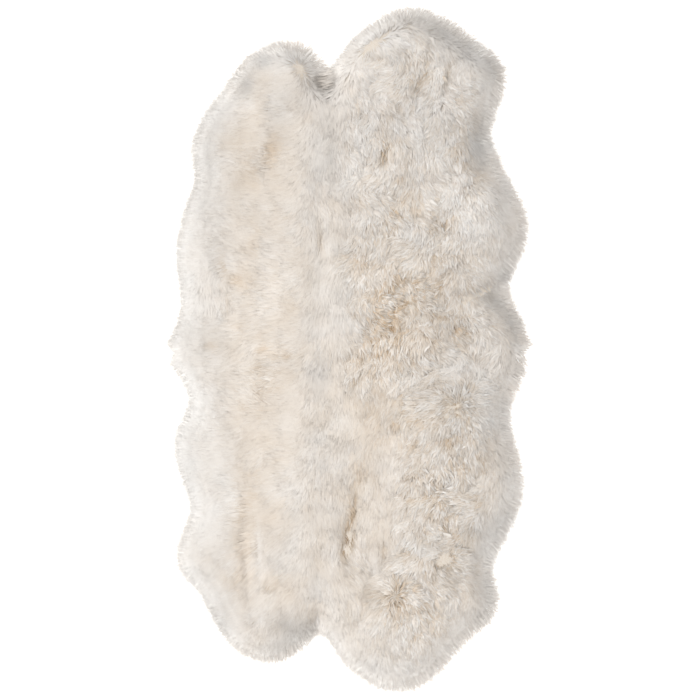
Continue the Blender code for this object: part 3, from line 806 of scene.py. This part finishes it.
def makeWool(material):
    strands = growStrands()
    pieces = {name: [] for name in pelts}
    for number, name in enumerate(pelts):
        here = strands["pelt"] == number
        middle = np.median(strands["root"][here, 1])
        upper = strands["root"][:, 1] > middle
        for part, half in (("upper", here & upper), ("lower", here & ~upper)):
            own = {kind: values[half] for kind, values in strands.items()}
            piece = strandMesh(name.replace("pelt", "wool") + "_" + part, own)
            piece.data.materials.append(material)
            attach(piece, "root")
            pieces[name].append(piece)
            print(piece.name, int(half.sum()), "strands")
    return pieces


def woolMaterial():
    # scoured sheep's wool, combed out: ivory tips that warm to tan at the root, a soft matt sheen
    finish = {"Roughness": 0.78, "Specular IOR Level": 0.35, "Sheen Weight": 0.25, "Sheen Roughness": 0.5}
    material = newMaterial("ivorySheepWool", finish)
    place = addNode(material, "UVMap", {"uv_map": "OFBake"}, {})
    axes = addNode(material, "SeparateXYZ", {}, {0: place.outputs[0]})
    stops = [(0.0, "#F3F0EC"), (0.3, "#E9E2DA"), (0.52, "#DDD1C3"), (0.75, "#C8B196"), (1.0, "#93704B")]
    ramp = addNode(material, "ValToRGB", {"stops": stops}, {0: axes.outputs[0]})
    # up the map the colour is scaled darker or lighter: the wool's greyness together with painted shade and
    # painted light
    lightnessAndPaintedShadeScale = {"operation": "MULTIPLY_ADD", 1: 0.56, 2: 0.57}
    factor = addNode(material, "Math", lightnessAndPaintedShadeScale, {0: axes.outputs[1]})
    scale = {"operation": "SCALE"}
    shaded = addNode(material, "VectorMath", scale, {0: ramp.outputs[0], 3: factor.outputs[0]})
    wireShader(material, shaded)
    return material


undercoat = {
    "sink": 3.5 * mm,  # how far it lies under the surface of the long wool
    "inset": 6 * mm,
    "foot": 2.2 * mm,
    "sinksFully": 15 * mm,  # from this height up; lower down it sinks less
    "rimWidth": 40 * mm,
    "withoutLocks": 3 * mm,  # corners further past the rim than this belong to the solids' locks
}


def makeUndercoat(name, material):
    bm = bmesh.new()
    bm.from_mesh(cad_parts[name].data)
    bmesh.ops.remove_doubles(bm, verts=bm.verts, dist=weld)
    depths = readField("inwards", *np.array([v.co.xy for v in bm.verts]).T)
    locks = [v for v, depth in zip(bm.verts, depths) if depth < -undercoat["withoutLocks"]]
    bmesh.ops.delete(bm, geom=locks, context="VERTS")
    bmesh.ops.holes_fill(bm, edges=[e for e in bm.edges if e.is_boundary], sides=0)
    places = np.array([v.co.xy for v in bm.verts]).T
    outX, outY, depths = (readField(field, *places) for field in ("outX", "outY", "inwards"))
    nearRim = 1 - smoothStep(0, undercoat["rimWidth"], depths)
    for vert, x, y, near in zip(bm.verts, outX, outY, nearRim):
        vert.co.x -= x * undercoat["inset"] * near
        vert.co.y -= y * undercoat["inset"] * near
        sink = undercoat["sink"] * min(1, vert.co.z / undercoat["sinksFully"])
        vert.co.z = max(undercoat["foot"], vert.co.z - sink)
    piece = pieceFrom(bm, name.replace("pelt", "undercoat"), material)
    piece.data.shade_smooth()
    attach(piece, "root")
    return piece


def undercoatMaterial():
    # dense crimped wool near the skin: tan and matt
    material = newMaterial("crimpedUnderwool", {"Roughness": 0.9})
    place = addNode(material, "TexCoord", {}, {})
    fine = {"Scale": 260.0, "Detail": 4.0}
    crimp = addNode(material, "TexNoise", fine, {"Vector": place.outputs["Object"]})
    stops = [(0.3, "#D6C9B8"), (0.7, "#E4DBD0")]
    ramp = addNode(material, "ValToRGB", {"stops": stops}, {0: crimp.outputs[0]})
    depth = {"Strength": 0.4, "Distance": 1.0 * mm}
    bump = addNode(material, "Bump", depth, {"Height": crimp.outputs[0]})
    wireShader(material, ramp, bump)
    return material


hide = {
    "thickness": 2 * mm,
    "inset": 5 * mm,  # the skin ends this far inside the rim of the wool
    "pared": 4 * mm,  # beside the seams the skins are thinned from beneath in this width
    "paredBy": 1.2 * mm,
    "seamReach": 1.5 * mm,  # an edge this close to the next pelt is sewn to it
    "stitchEvery": 6 * mm,
    "stitchReach": 3.4 * mm,  # to either side of the seam
    "slant": 1.2 * mm,
    # its path: shares of the reach, and heights
    "stitchPath": ((-1, 1.15 * mm), (-0.45, 0.62 * mm), (0.45, 0.62 * mm), (1, 1.15 * mm)),
    "thread": 0.42 * mm,  # its radius
    "threadSides": 5,
    "sortAlong": (0.83, 0.47, 0.29),  # a skin's corners are listed in order along this slanting line
}


def skinOutline(name):  # the pelt's foot on the floor in order, without its locks
    bm = bmesh.new()
    bm.from_mesh(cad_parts[name].data)
    bmesh.ops.remove_doubles(bm, verts=bm.verts, dist=weld)
    raised = [face for face in bm.faces if max(vert.co.z for vert in face.verts) > weld]
    bmesh.ops.delete(bm, geom=raised, context="FACES")
    edge = next(edge for edge in bm.edges if edge.is_boundary)
    vert, outline = edge.verts[0], []
    while not outline or vert.index != outline[0][0]:
        outline.append((vert.index, vert.co.copy()))
        vert = edge.other_vert(vert)
        edge = next(other for other in vert.link_edges if other.is_boundary and other != edge)
    bm.free()
    inwards = readField("inwards", *np.array([place.xy for _, place in outline]).T)
    return [place for (_, place), depth in zip(outline, inwards) if depth > hide["inset"]]


def seamPlaces():  # places along the seams, each with the seam's direction
    samples = []
    for number, name in enumerate(pelts):
        outline = skinOutline(name)
        for start, end in zip(outline, outline[1:] + outline[:1]):
            run = end - start
            count = max(1, round(run.length / (2 * mm)))
            samples += [(number, start + run * (n + 0.5) / count, run.normalized()) for n in range(count)]
    tree = treeOf([place for _, place, _ in samples])
    found = []
    for number, place, along in samples:
        others = [samples[i] for _, i, _ in tree.find_range(place, hide["seamReach"])]
        if any(other[0] > number for other in others):
            found.append((place, along))
    return found


def makeHide(name, seam, material):
    bm = bmesh.new()
    foot = bm.faces.new([bm.verts.new(place) for place in skinOutline(name)])
    foot.normal_update()
    pared = {"thickness": hide["pared"], "use_boundary": True, "use_even_offset": True}
    bmesh.ops.inset_region(bm, faces=[foot], **pared)
    for vert in bm.verts:
        if vert.is_boundary and seam.find(vert.co)[2] < hide["seamReach"]:
            vert.co.z += hide["paredBy"]
    area = sum(face.calc_area() for face in bm.faces)
    made = bmesh.ops.extrude_face_region(bm, geom=bm.faces[:], use_keep_orig=True)
    for vert in (item for item in made["geom"] if isinstance(item, bmesh.types.BMVert)):
        vert.co.z = hide["thickness"]
    bmesh.ops.recalc_face_normals(bm, faces=bm.faces)
    slantwise = Vector(hide["sortAlong"])
    bm.verts.sort(key=lambda vert: vert.co.dot(slantwise))  # the operators give a new order each run
    bm.edges.sort(key=lambda edge: (edge.verts[0].co + edge.verts[1].co).dot(slantwise))
    bm.faces.sort(key=lambda face: face.calc_center_median().dot(slantwise))
    piece = pieceFrom(bm, name.replace("pelt", "hide"), material)
    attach(piece, "root")
    places = np.array([vert.co for vert in piece.data.vertices])
    width, length = (float(side) for side in np.ptp(places[:, :2], axis=0))
    return piece, (width, length), area


def makeStitches(places, material):  # overcast across the seams, in the pared hollow beneath
    bm = bmesh.new()
    sewn, sides = [], hide["threadSides"]
    for place, along in places:
        if any((place - other).length < hide["stitchEvery"] for other in sewn):
            continue
        sewn.append(place)
        across = Vector((along.y, -along.x, 0))
        rings = []
        for share, height in hide["stitchPath"]:
            centre = Vector((place.x, place.y, height))
            centre += across * share * hide["stitchReach"] + along * share * hide["slant"]
            ring = []
            for turn in (math.tau * n / sides for n in range(sides)):
                corner = centre + along * math.cos(turn) * hide["thread"]
                ring.append(bm.verts.new(corner + Vector((0, 0, math.sin(turn) * hide["thread"]))))
            rings.append(ring)
        for near, far in zip(rings, rings[1:]):
            for n in range(sides):
                after = (n + 1) % sides
                bm.faces.new((near[n], near[after], far[after], far[n]))
        bm.faces.new(rings[0])
        bm.faces.new(rings[-1])
    bmesh.ops.recalc_face_normals(bm, faces=bm.faces)
    piece = pieceFrom(bm, "seam_stitches", material)
    piece.data.shade_smooth()
    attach(piece, "root")
    print("seam_stitches", len(sewn), "stitches")


def hideMaterial():
    # tanned skin buffed to a short nap: cloudy beige, quite matt, with a fine tooth
    material = newMaterial("suededSkin", {"Roughness": 0.95, "Specular IOR Level": 0.2})
    place = addNode(material, "TexCoord", {}, {})
    wide = {"Scale": 9.0, "Detail": 5.0, "Roughness": 0.6}
    dye = addNode(material, "TexNoise", wide, {"Vector": place.outputs["Object"]})
    stops = [(0.3, "#BFA27C"), (0.5, "#CDB18C"), (0.7, "#D8C09E")]
    ramp = addNode(material, "ValToRGB", {"stops": stops}, {0: dye.outputs[0]})
    fibres = {"Scale": 900.0, "Detail": 2.0}
    nap = addNode(material, "TexNoise", fibres, {"Vector": place.outputs["Object"]})
    depth = {"Strength": 0.35, "Distance": 0.3 * mm}
    bump = addNode(material, "Bump", depth, {"Height": nap.outputs[0]})
    wireShader(material, ramp, bump)
    return material


def threadMaterial():
    # spun sewing thread: pale, matt, with its twist across each stitch
    material = newMaterial("spunThread", {"Roughness": 0.85})
    place = addNode(material, "TexCoord", {}, {})
    turns = {"Scale": 1400.0, "Distortion": 0.4}
    twist = addNode(material, "TexWave", turns, {"Vector": place.outputs["Object"]})
    stops = [(0.0, "#B9A27F"), (1.0, "#D9C7A8")]
    ramp = addNode(material, "ValToRGB", {"stops": stops}, {0: twist.outputs[0]})
    wireShader(material, ramp)
    return material


wool = makeWool(woolMaterial())
print("wool grown")
underwool, skin = undercoatMaterial(), hideMaterial()
sewn = seamPlaces()
seam = treeOf([place for place, _ in sewn])
makeStitches(sewn, threadMaterial())
for name in pelts:
    coat = makeUndercoat(name, underwool)
    back, flat, area = makeHide(name, seam, skin)
    for piece in (coat, back, *wool[name]):
        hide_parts(name)
    print(back.name, "cut to", [round(side, 3) for side in flat], "m, area", round(area, 3), "m2")
print("skins and sewing made")


stage = {
    "floorSize": 60.0,
    "floorAt": 0.1 * mm,  # a hair above the skins' undersides, so that the two never share a plane
    "photoWidth": 700,  # pixels, and as many in height
    "mmPerPixel": 2.624,
    "middle": (349, 349.5),  # the rug's middle in the photo's pixels
    "lens": 110,  # mm
    "sensor": 36,
    "seenHeight": 40 * mm,  # the height at which the scale above holds
    "backlight": 0.8,  # the paper is lit from beneath too, so the rug's own shadow stays faint
}


def makeStage():
    bpy.ops.mesh.primitive_plane_add(size=stage["floorSize"], location=(0, 0, stage["floorAt"]))
    floor = bpy.context.object
    floor.name = "floor"
    glow = {"Emission Color": toLinear("#FFFFFF"), "Emission Strength": stage["backlight"]}
    matt = {"Base Color": toLinear("#FCFCFC"), "Roughness": 1.0, "Specular IOR Level": 0.0}
    material = newMaterial("whitePaper", matt | glow)
    floor.data.materials.append(material)


def makeLight(name, place, size, watts, colour):
    data = bpy.data.lights.new(name, "AREA")
    data.shape = "DISK"
    data.size = size
    data.energy = watts
    data.color = toLinear(colour)[:3]
    light = addObject(data)
    light.location = place
    light.rotation_euler = (-Vector(place)).to_track_quat("-Z", "Y").to_euler()


def makeWorld(colour, strength):
    world = bpy.data.worlds.new("studioAir")
    world.use_nodes = True
    world.node_tree.nodes["Background"].inputs["Color"].default_value = toLinear(colour)
    world.node_tree.nodes["Background"].inputs["Strength"].default_value = strength
    bpy.context.scene.world = world


def makeCamera():
    data = bpy.data.cameras.new("overhead")
    data.lens = stage["lens"]
    data.sensor_width = stage["sensor"]
    camera = addObject(data)
    span = stage["photoWidth"] * stage["mmPerPixel"] * mm
    centre = stage["photoWidth"] / 2
    acrossOff = (centre - stage["middle"][0]) * stage["mmPerPixel"] * mm
    alongOff = (stage["middle"][1] - centre) * stage["mmPerPixel"] * mm
    camera.location = (acrossOff, alongOff, span * stage["lens"] / stage["sensor"] + stage["seenHeight"])
    bpy.context.scene.camera = camera


makeStage()
makeLight("window", (-3.6, -1.0, 2.6), 2.2, 76, "#FFFFFF")
makeWorld("#FFFFFF", 0.92)
makeCamera()
bpy.context.scene.view_settings.view_transform = "Standard"
print("stage set")
